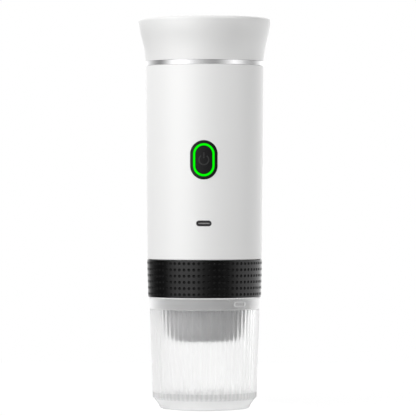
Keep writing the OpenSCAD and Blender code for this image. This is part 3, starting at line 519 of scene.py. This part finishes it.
def grow(name, tree, seed_mesh, sizes):
    """A plain mesh piece from a tree, a starting mesh and the tree's named sizes."""
    seed = mesh_object(name + "_seed", seed_mesh)
    modifier = seed.modifiers.new("grow", "NODES")
    modifier.node_group = tree
    for item in tree.interface.items_tree:
        if item.in_out == "INPUT" and item.name in sizes:
            modifier[item.identifier] = sizes[item.name]
    shown = seed.evaluated_get(bpy.context.evaluated_depsgraph_get())
    mesh = bpy.data.meshes.new_from_object(shown)
    mesh.name = name
    while mesh.materials[0] is None:
        mesh.materials.pop(index=0)
    seed.modifiers.clear()
    bpy.data.objects.remove(seed)
    return mesh_object(name, mesh)


# %% Finishing a piece
WELD_REACH = 0.01 * MM
SHARP_FROM = math.radians(35)


def weld(piece):
    """Joins points that coincide, turns faces outwards and shades the piece smooth between sharp edges."""
    work = bmesh.new()
    work.from_mesh(piece.data)
    bmesh.ops.remove_doubles(work, verts=work.verts, dist=WELD_REACH)
    bmesh.ops.recalc_face_normals(work, faces=work.faces)
    work.to_mesh(piece.data)
    work.free()
    piece.data.shade_smooth()
    piece.data.set_sharp_from_angle(angle=SHARP_FROM)


def settle(piece, body, slot, *replaced):
    """Gives a finished piece its body and the nodes that it stands for. The slot is not used."""
    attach(piece, body)
    if replaced:
        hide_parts(*replaced)
    print(piece.name, "triangles", sum(len(face.vertices) - 2 for face in piece.data.polygons))


# %% [markdown]
# ## The dimpled grip
# The band is a short cone with 72 columns and 6 rows of round dimples. Cutting 432 bowls out of a cone is
# slow and leaves a ragged mesh. So one flat tile holds one dimple: a square edge, a round rim and a
# shallow bowl. The tree lays the tile out as a sheet and wraps the sheet round the cone. A lathe gives
# the bevels and the inner wall, with as many steps as the sheet has edge points, so the two weld
# together. The lands between the dimples are polished by hands and the bowls are duller, so they get a
# finish of their own.

# %% One tile with a dimple
DIMPLE_COLUMNS = 72
DIMPLE_ROWS = 6
DIMPLE_R = 0.9 * MM
DIMPLE_DEPTH = 0.45 * MM
TILE_SIDE_STEPS = 6
# Each ring of points in the bowl: its share of the radius and of the depth.
BOWL_RINGS = ((1.0, 0.0), (0.93, 0.16), (0.75, 0.55), (0.4, 0.9))


def dimple_tile(width, height):
    """A unit square with a dimple, squeezed so that it is round on a width by height tile."""
    corner_steps = 4 * TILE_SIDE_STEPS
    work = bmesh.new()
    rings = [[] for _ in range(len(BOWL_RINGS) + 1)]
    for i in range(corner_steps):
        angle = math.pi / 4 + 2 * math.pi * i / corner_steps
        side, step = divmod(i, TILE_SIDE_STEPS)
        along = 0.5 - step / TILE_SIDE_STEPS
        edge = [(along, 0.5), (-0.5, along), (-along, -0.5), (0.5, -along)][side]
        rings[0].append(work.verts.new((*edge, 0)))
        for ring, (share, deep) in zip(rings[1:], BOWL_RINGS):
            x = share * DIMPLE_R / width * math.cos(angle)
            y = share * DIMPLE_R / height * math.sin(angle)
            ring.append(work.verts.new((x, y, -deep * DIMPLE_DEPTH)))
    for outer, inner in zip(rings, rings[1:]):
        for i in range(corner_steps):
            j = (i + 1) % corner_steps
            work.faces.new((outer[i], outer[j], inner[j], inner[i]))
    middle = work.verts.new((0, 0, -DIMPLE_DEPTH))
    for i in range(corner_steps):
        work.faces.new((rings[-1][i], rings[-1][(i + 1) % corner_steps], middle))
    mesh = bpy.data.meshes.new("dimple_tile")
    work.to_mesh(mesh)
    work.free()
    return mesh


# %% The tree that wraps tiles round a cone
def wrap_tree(material):
    """Tiles in columns and rows, bent round a cone between two heights."""
    sizes = {"Columns": "NodeSocketInt", "Rows": "NodeSocketInt", "Low Radius": "NodeSocketFloat",
             "High Radius": "NodeSocketFloat", "Low": "NodeSocketFloat", "High": "NodeSocketFloat"}
    graph, size = new_tree("wrap_tiles", sizes)
    columns = size["Columns"]
    rows = size["Rows"]
    grid = graph.add("GeometryNodeMeshGrid", inputs={
        "Size X": columns - 1, "Size Y": rows - 1, "Vertices X": columns, "Vertices Y": rows})
    sheet = graph.add("GeometryNodeInstanceOnPoints", inputs={"Points": grid, "Instance": size["Geometry"]})
    sheet = graph.add("GeometryNodeRealizeInstances", inputs={0: sheet})
    flat = graph.add("ShaderNodeSeparateXYZ", inputs={0: graph.add("GeometryNodeInputPosition")})
    turn = (flat.out("X") + 0.5) / columns * (2 * math.pi) - math.pi / 2
    rise = flat.out("Y") / rows + 0.5
    radius = size["Low Radius"] + (size["High Radius"] - size["Low Radius"]) * rise + flat.out("Z")
    wrapped = graph.add("ShaderNodeCombineXYZ", inputs={
        0: radius * turn.calc("COSINE"), 1: radius * turn.calc("SINE"),
        2: size["Low"] + (size["High"] - size["Low"]) * rise})
    sheet = graph.add("GeometryNodeSetPosition", inputs={"Geometry": sheet, "Position": wrapped})
    return close_tree(graph, sheet, material)


# %% The finished band
BAND_BEVEL = 0.1 * MM
PIT_FROM = 0.02 * MM
band_low, band_high = levels("grip_band")
band_low_r = radius_at("grip_band", band_low)
band_high_r = radius_at("grip_band", band_high)
band_bore_r = bore_at("grip_band", band_low)
sheet_low = band_low + BAND_BEVEL
sheet_high = band_high - BAND_BEVEL
tile_width = math.pi * (band_low_r + band_high_r) / DIMPLE_COLUMNS
tile_height = (sheet_high - sheet_low) / DIMPLE_ROWS
band = grow("dimpled_band", wrap_tree(finishes["black_grip"]), dimple_tile(tile_width, tile_height), {
    "Columns": DIMPLE_COLUMNS, "Rows": DIMPLE_ROWS, "Low Radius": band_low_r, "High Radius": band_high_r,
    "Low": sheet_low, "High": sheet_high})
rest_of_band = lathe("band_rest", [
    (band_high_r, sheet_high), (band_high_r - BAND_BEVEL, band_high), (band_bore_r, band_high),
    (band_bore_r, band_low), (band_low_r - BAND_BEVEL, band_low), (band_low_r, sheet_low)],
    DIMPLE_COLUMNS * TILE_SIDE_STEPS)
joined = bmesh.new()
joined.from_mesh(band.data)
joined.from_mesh(rest_of_band)
joined.to_mesh(band.data)
joined.free()
weld(band)

# %% Duller bowls
band.data.materials.append(finish("grip_pits", (0.004, 0.004, 0.004), 0.22, Specular_IOR_Level=0.16))
for face in band.data.polygons:
    rise = (face.center.z - sheet_low) / (sheet_high - sheet_low)
    surface_r = band_low_r + (band_high_r - band_low_r) * rise
    depth = surface_r - math.hypot(face.center.x, face.center.y)
    if 0 < rise < 1 and PIT_FROM < depth < DIMPLE_DEPTH:
        face.material_index = 1
settle(band, "brew_head", "black_grip", "grip_band")


# %% [markdown]
# ## The joint under the lid
# A polished ring shines between the body and the lid, and it meets the lid in a fine line. In the solids
# each of the two has a bevel, with a seam between them, and together these would show as a dark groove. A
# solid's mesh isn't changed here, so a new ring with finer edges is turned, which closes the seam, and a
# lip squares the lid's lower edge.

# %% Ring and lip
RING_BEVEL = 0.08 * MM
RING_SEAM = 0.05 * MM
LID_BEVEL = 0.35 * MM
TURNING_STEPS = 256


def turned(name, body, like, section, *replaced):
    """A closed section turned round the Z axis, with the finish of a node."""
    piece = mesh_object(name, lathe(name, [*section, section[0]], TURNING_STEPS))
    piece.data.materials.append(nodes[like].data.materials[0])
    weld(piece)
    settle(piece, body, slot_of[like], *replaced)


ring_low, _ = levels("trim_ring")
lid_low, _ = levels("top_lid")
ring_high = lid_low - RING_SEAM
ring_r = radius_at("trim_ring", ring_low)
ring_bore_r = bore_at("trim_ring", ring_low)
lid_r = radius_at("top_lid", lid_low)
turned("polished_ring", "housing", "trim_ring", [
    (ring_bore_r, ring_low), (ring_r - RING_BEVEL, ring_low), (ring_r, ring_low + RING_BEVEL),
    (ring_r, ring_high - RING_BEVEL), (ring_r - RING_BEVEL, ring_high), (ring_bore_r, ring_high)],
    "trim_ring")
turned("lid_lip", "lid", "top_lid", [
    (lid_r, lid_low), (lid_r, lid_low + LID_BEVEL), (lid_r - LID_BEVEL, lid_low)])


# %% [markdown]
# ## Screw threads
# The body screws on to the brew head and the lid on to the tank's neck. The solids leave room for the
# ridges between two smooth walls. A ridge could be modelled turn by turn, but it follows a rule: it is a
# spiral with a small section swept along it, fading out at both ends. A thread has two of them half a
# turn apart. The lead matches the joints: one turn lifts the piece by 8 mm.

# %% The thread tree
THREAD_LEAD = 8 * MM
THREAD_STARTS = 2
THREAD_STEPS = 96
RIDGE_R = 0.55 * MM
RIDGE_SIDES = 8
RIDGE_FADE = 0.12
RIDGE_END = 0.12


def thread_tree(material):
    """Ridges that climb on a wall, one for each start of the thread."""
    sizes = {"Radius": "NodeSocketFloat", "Low": "NodeSocketFloat", "Lead": "NodeSocketFloat",
             "Turns": "NodeSocketFloat", "Ridge": "NodeSocketFloat", "Phase": "NodeSocketFloat"}
    graph, size = new_tree("screw_thread", sizes)
    spiral = graph.add("GeometryNodeCurveSpiral", inputs={
        "Resolution": THREAD_STEPS, "Rotations": size["Turns"], "Start Radius": size["Radius"],
        "End Radius": size["Radius"], "Height": size["Lead"] * size["Turns"]})
    along = graph.add("GeometryNodeSplineParameter", output="Factor")
    fade = graph.ramp(along.calc("MINIMUM", 1 - along), 0.0, RIDGE_FADE, RIDGE_END, 1.0)
    spiral = graph.add("GeometryNodeSetCurveRadius", inputs={"Curve": spiral, "Radius": fade})
    section = graph.add("GeometryNodeCurvePrimitiveCircle", inputs={
        "Resolution": RIDGE_SIDES, "Radius": size["Ridge"]})
    ridge = graph.add("GeometryNodeCurveToMesh", inputs={
        "Curve": spiral, "Profile Curve": section, "Fill Caps": True})
    ridges = graph.add("GeometryNodeJoinGeometry")
    join = ridges.socket.node
    for k in range(THREAD_STARTS):
        phase = size["Phase"] + 2 * math.pi * k / THREAD_STARTS
        turn = graph.add("ShaderNodeCombineXYZ", inputs={2: phase})
        lift = graph.add("ShaderNodeCombineXYZ", inputs={2: size["Low"]})
        placed = graph.add("GeometryNodeTransform", inputs={
            "Geometry": ridge, "Translation": lift, "Rotation": turn})
        graph.plug(join.inputs[0], placed)
    return close_tree(graph, ridges, material)


# %% Ridges on both sides of both threads
THREAD_MARGIN = 1.4 * MM
QUARTER_TURN = math.pi / 2


def thread(name, body, slot, radius, low, high, phase):
    """Ridges between two heights on a wall of that radius."""
    turns = (high - low - 2 * THREAD_MARGIN) / THREAD_LEAD
    piece = grow(name, thread_tree(finishes[slot]), bpy.data.meshes.new(name + "_none"), {
        "Radius": radius, "Low": low + THREAD_MARGIN, "Lead": THREAD_LEAD, "Turns": turns,
        "Ridge": RIDGE_R, "Phase": phase})
    weld(piece)
    settle(piece, body, slot)


neck_low, _ = levels("base_plate")
_, collar_high = levels("brew_chamber")
neck_r = radius_at("base_plate", neck_low)
collar_bore_r = bore_at("brew_chamber", collar_high)
thread("neck_thread", "housing", slot_of["base_plate"], neck_r, neck_low, collar_high, 0.0)
thread("collar_thread", "brew_head", slot_of["brew_chamber"], collar_bore_r, neck_low, collar_high,
       QUARTER_TURN)

liner_low, _ = levels("lid_liner")
_, tank_neck_high = levels("tank_collar")
tank_neck_r = radius_at("tank_collar", tank_neck_high)
liner_bore_r = bore_at("lid_liner", liner_low)
thread("tank_thread", "housing", slot_of["tank_collar"], tank_neck_r, liner_low, tank_neck_high, 0.0)
thread("lid_thread", "lid", slot_of["lid_liner"], liner_bore_r, liner_low, tank_neck_high,
       QUARTER_TURN)


# %% [markdown]
# ## The sign on the button
# A ring that is open at the top, with an upright bar in the gap, is printed on the button. As a pattern in
# the material it would lose its sharp edges when materials are baked, so it is a mesh: one flat strip for
# the ring and one for the bar, bent to the button's round face and a few hundredths of a millimetre proud
# of it.

# %% The power sign
SIGN_R = 2.85 * MM
SIGN_STROKE = 0.85 * MM
SIGN_GAP = math.radians(36)
SIGN_BAR = (0.9 * MM, 4.4 * MM)
SIGN_PROUD = 0.04 * MM
SIGN_STEPS = 48
button_low, button_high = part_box("power_button")
button_z = (button_low.z + button_high.z) / 2
button_face_r = -button_low.y


def on_button(point):
    """A sign point on the button's round face."""
    x, z = point
    reach = button_face_r + SIGN_PROUD
    return x, -math.sqrt(reach * reach - x * x), button_z + z


def strip(work, centre_line):
    """A flat strip with square ends on the button, along a line of (x, z) points."""
    sides = []
    for i, point in enumerate(centre_line):
        before = centre_line[max(i - 1, 0)]
        after = centre_line[min(i + 1, len(centre_line) - 1)]
        way = (after - before).normalized()
        aside = Vector((-way.y, way.x)) * SIGN_STROKE / 2
        sides.append([work.verts.new(on_button(corner)) for corner in (point + aside, point - aside)])
    for (a, b), (c, d) in zip(sides, sides[1:]):
        work.faces.new((a, b, d, c))


sweep = 2 * math.pi - 2 * SIGN_GAP
ring_line = []
for i in range(SIGN_STEPS + 1):
    angle = math.pi / 2 + SIGN_GAP + sweep * i / SIGN_STEPS
    ring_line.append(Vector((SIGN_R * math.cos(angle), SIGN_R * math.sin(angle))))
sign_mesh = bpy.data.meshes.new("power_sign")
sign_work = bmesh.new()
strip(sign_work, ring_line)
strip(sign_work, [Vector((0, z)) for z in SIGN_BAR])
sign_work.to_mesh(sign_mesh)
sign_work.free()
sign = mesh_object("power_sign", sign_mesh)
sign.data.materials.append(finish("sign_print", (0.018, 0.0185, 0.0185), 0.4))
settle(sign, "power_button", "dark_metal")


# %% [markdown]
# ## Contacts in the charging socket
# Two rows of gilt strips lie on the tongue, one above and one below. They repeat at an even pitch, so a
# tree makes them: a line of points carries one small bar each.

# %% The contact tree
CONTACT_COUNT = 12
CONTACT_PITCH = 0.5 * MM
CONTACT_W = 0.26 * MM
CONTACT_LEN = 3 * MM
CONTACT_T = 0.06 * MM
CONTACT_SETBACK = 0.4 * MM


def contact_tree(material):
    """Two rows of small bars, at two heights."""
    sizes = {"Count": "NodeSocketInt", "Pitch": "NodeSocketFloat", "Width": "NodeSocketFloat",
             "Length": "NodeSocketFloat", "Thickness": "NodeSocketFloat", "Y": "NodeSocketFloat",
             "Low": "NodeSocketFloat", "High": "NodeSocketFloat"}
    graph, size = new_tree("contacts", sizes)
    bar_size = graph.add("ShaderNodeCombineXYZ", inputs={
        0: size["Width"], 1: size["Length"], 2: size["Thickness"]})
    bar = graph.add("GeometryNodeMeshCube", inputs={"Size": bar_size})
    both = graph.add("GeometryNodeJoinGeometry")
    join = both.socket.node
    for level in ("Low", "High"):
        first = graph.add("ShaderNodeCombineXYZ", inputs={
            0: -0.5 * size["Pitch"] * (size["Count"] - 1), 1: size["Y"], 2: size[level]})
        step = graph.add("ShaderNodeCombineXYZ", inputs={0: size["Pitch"]})
        row = graph.add("GeometryNodeMeshLine", inputs={
            "Count": size["Count"], "Start Location": first, "Offset": step})
        bars = graph.add("GeometryNodeInstanceOnPoints", inputs={"Points": row, "Instance": bar})
        graph.plug(join.inputs[0], bars)
    return close_tree(graph, both, material)


tongue_low, tongue_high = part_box("usb_tongue")
contacts = grow("usb_contacts", contact_tree(finishes["cam_brass"]), bpy.data.meshes.new("contacts_none"), {
    "Count": CONTACT_COUNT, "Pitch": CONTACT_PITCH, "Width": CONTACT_W, "Length": CONTACT_LEN,
    "Thickness": CONTACT_T, "Y": tongue_low.y + CONTACT_SETBACK + CONTACT_LEN / 2,
    "Low": tongue_low.z, "High": tongue_high.z})
weld(contacts)
settle(contacts, "housing", "cam_brass")


# %% [markdown]
# ## Camera
# The picture was taken from far away, a little above the middle of the machine, so its edges hardly
# converge. The camera stands at that distance. Its aim and lens could be found by trial, but they follow
# from where the machine's axis and foot lie in the frame. The button lies a little to the left of the
# axis, so the camera stands a little to the right.

# %% Camera, aim and lens
PICTURE_SIDE = 416
AXIS_PIXEL = 204.6
FOOT_PIXEL = 407.7
EYE_PIXEL = 193.0
PIXEL_SIZE = 0.6 * MM
EYE_DISTANCE = 1.896
EYE_TURN = math.radians(0.7)
SENSOR = 36.0
VIEW_END = 50

ahead = Vector((-math.sin(EYE_TURN), math.cos(EYE_TURN), 0))
across = Vector((math.cos(EYE_TURN), math.sin(EYE_TURN), 0))
eye_side = (PICTURE_SIDE / 2 - AXIS_PIXEL) * PIXEL_SIZE
eye_z = (FOOT_PIXEL - EYE_PIXEL) * PIXEL_SIZE
aim_z = (FOOT_PIXEL - PICTURE_SIDE / 2) * PIXEL_SIZE
camera_data = bpy.data.cameras.new("camera")
camera_data.sensor_width = SENSOR
camera_data.lens = SENSOR * EYE_DISTANCE / (PICTURE_SIDE * PIXEL_SIZE)
camera_data.clip_end = VIEW_END
camera = bpy.data.objects.new("camera", camera_data)
camera.location = eye_side * across - EYE_DISTANCE * ahead + Vector((0, 0, eye_z))
aim = EYE_DISTANCE * ahead + Vector((0, 0, aim_z - eye_z))
camera.rotation_euler = aim.to_track_quat("-Z", "Y").to_euler()
bpy.context.scene.collection.objects.link(camera)
bpy.context.scene.camera = camera
print("lens", round(camera_data.lens, 1), "eye height", round(eye_z, 4))


# %% [markdown]
# ## Light
# The bright ring and the black band show where the light stands: a large soft box to the left in front, a
# white wall to the right and behind, and darkness between them. The world is plain white for the camera
# and through the clear cup. Mirror reflections see it by compass angle from the front. The ring lies
# above the camera and the band below, so rays that rise and rays that fall each have their own list of
# angles and levels. Everything else gets a soft fill. It grows from below to a certain height, falls
# again towards the top, and is a little stronger to the left. Two lamps give the soft shadows.
# Reflections don't show them, because the lists already hold their place and level.

# %% World
FILL = 0.815
FILL_RISE = 1.3
FILL_TOP = 0.15
FILL_FALL = 0.6
FILL_LEFT = 0.08
RISING = ((-180, 1.9), (-135, 1.0), (-95, 0.3), (-60, 1.4), (-45, 1.25), (-20, 0.45), (25, 0.52),
          (60, 1.6), (88, 0.1), (110, 0.05), (140, 1.05), (180, 1.9))
FALLING = ((-180, 1.9), (-140, 0.3), (-113, 0.0), (-85, 0.05), (-50, 2.0), (-25, 1.95), (0, 0.45),
           (20, 0.02), (48, 0.02), (80, 1.5), (145, 1.4), (180, 1.9))
RISE_BLEND = (-0.03, 0.05)


def around(graph, turn, stops):
    """A level that follows a compass angle through (degrees, level) stops."""
    ramp = graph.add("ShaderNodeValToRGB", inputs={0: turn / (2 * math.pi) + 0.5})
    marks = ramp.socket.node.color_ramp.elements
    (_, first), *middle, (_, last) = stops
    marks[0].color = (first, first, first, 1)
    marks[-1].color = (last, last, last, 1)
    for degrees, level in middle:
        marks.new(degrees / 360 + 0.5).color = (level, level, level, 1)
    return ramp


world = bpy.data.worlds.new("studio")
bpy.context.scene.world = world
world.use_nodes = True
sky = Graph(world.node_tree)
path = sky.add("ShaderNodeLightPath")
way = sky.add("ShaderNodeSeparateXYZ", inputs={0: sky.add("ShaderNodeTexCoord", output="Generated")})
compass = way.out("X").calc("ARCTAN2", -1 * way.out("Y"))
rising = sky.ramp(way.out("Z"), *RISE_BLEND)
mirrored = rising * around(sky, compass, RISING) + (1 - rising) * around(sky, compass, FALLING)
above = (way.out("Z") - FILL_TOP).calc("MAXIMUM", 0.0)
fill = FILL + FILL_RISE * way.out("Z").calc("MINIMUM", FILL_TOP) - FILL_FALL * above
fill = (fill - FILL_LEFT * way.out("X")).calc("MAXIMUM", 0.0)
glossy = path.out("Is Glossy Ray")
clear = any_of(path.out("Transmission Depth"))
scattered = any_of(path.out("Diffuse Depth"))
plain = path.out("Is Camera Ray").calc("MAXIMUM", clear * (1 - scattered))
strength = glossy * mirrored + (1 - glossy) * fill
strength = plain + (1 - plain) * strength
background = world.node_tree.nodes["Background"]
background.inputs["Color"].default_value = (1, 1, 1, 1)
sky.plug(background.inputs["Strength"], strength)
print("reflected levels", len(RISING), "rising", len(FALLING), "falling")


# %% Lamps
LAMP_AIM = (0, 0, 0.12)
KEY_PLACE = (-0.67, -0.743, 0.6)
KEY_SIZE = (0.85, 0.8)
KEY_WATTS = 6.2
RIGHT_PLACE = (0.74, 0.67, 0.2)
RIGHT_SIZE = (0.8, 0.8)
RIGHT_WATTS = 2.1


def soft_box(name, place, size, watts):
    """A rectangular lamp that faces the machine and that reflections don't show."""
    lamp_data = bpy.data.lights.new(name, "AREA")
    lamp_data.shape = "RECTANGLE"
    lamp_data.size, lamp_data.size_y = size
    lamp_data.energy = watts
    lamp = bpy.data.objects.new(name, lamp_data)
    lamp.location = place
    lamp.rotation_euler = (Vector(LAMP_AIM) - Vector(place)).to_track_quat("-Z", "Y").to_euler()
    lamp.visible_glossy = False
    bpy.context.scene.collection.objects.link(lamp)
    print(name, "watts", watts)


soft_box("key_box", KEY_PLACE, KEY_SIZE, KEY_WATTS)
soft_box("right_box", RIGHT_PLACE, RIGHT_SIZE, RIGHT_WATTS)


# %% [markdown]
# ## Floor
# The camera and the clear cup see a floor as white as the background. Close to the foot it shows its own
# shading instead, which gives a contact shadow. More light would whiten it too, but it would also bleach
# the machine, so the floor glows for those rays alone. Its paper is light under the machine and greyer
# further out, so that less light comes up from the sides.

# %% A white floor with a contact shadow
FLOOR_HALF = 0.5
FLOOR_GLOW = 1.15
FLOOR_GLOW_SHARE = 0.82
PAPER_TONE = 0.4
LIGHT_TONE = 0.9
LIGHT_SPOT = (45 * MM, 70 * MM)
CONTACT_SPOT = (28 * MM, 36 * MM)
CONTACT_STRETCH = (1.3, 1, 1)


def off_middle(graph, stretch):
    """The distance from the middle of the floor, with its axes stretched."""
    place = graph.add("ShaderNodeTexCoord", output="Object")
    place = graph.add("ShaderNodeMapping", inputs={"Vector": place, "Scale": stretch})
    return graph.add("ShaderNodeVectorMath", {"operation": "LENGTH"}, {0: place}, output="Value")


floor_mesh = bpy.data.meshes.new("floor")
floor_mesh.from_pydata([(-FLOOR_HALF, -FLOOR_HALF, 0), (FLOOR_HALF, -FLOOR_HALF, 0),
                        (FLOOR_HALF, FLOOR_HALF, 0), (-FLOOR_HALF, FLOOR_HALF, 0)], [], [(0, 1, 2, 3)])
floor = mesh_object("floor", floor_mesh)
floor_look = bpy.data.materials.new("floor_white")
floor_look.use_nodes = True
ground = Graph(floor_look.node_tree)
rays = ground.add("ShaderNodeLightPath")
through_cup = any_of(rays.out("Transmission Depth")) * (1 - any_of(rays.out("Diffuse Depth")))
away = ground.ramp(off_middle(ground, CONTACT_STRETCH), *CONTACT_SPOT)
seen = (away * rays.out("Is Camera Ray")).calc("MAXIMUM", through_cup)
tone = ground.ramp(off_middle(ground, (1, 1, 1)), *LIGHT_SPOT, LIGHT_TONE, PAPER_TONE)
paper = ground.add("ShaderNodeBsdfDiffuse", inputs={"Color": tone})
glow = ground.add("ShaderNodeEmission", inputs={"Strength": FLOOR_GLOW})
mixed = ground.add("ShaderNodeMixShader", inputs={0: FLOOR_GLOW_SHARE * seen, 1: paper, 2: glow})
ground.plug(floor_look.node_tree.nodes["Material Output"].inputs["Surface"], mixed)
floor.data.materials.append(floor_look)
print("floor", 2 * FLOOR_HALF, "m wide")


# %% [markdown]
# ## View transform
# The view transform is Standard so that white stays white.

# %% Finish
bpy.context.scene.view_settings.view_transform = "Standard"
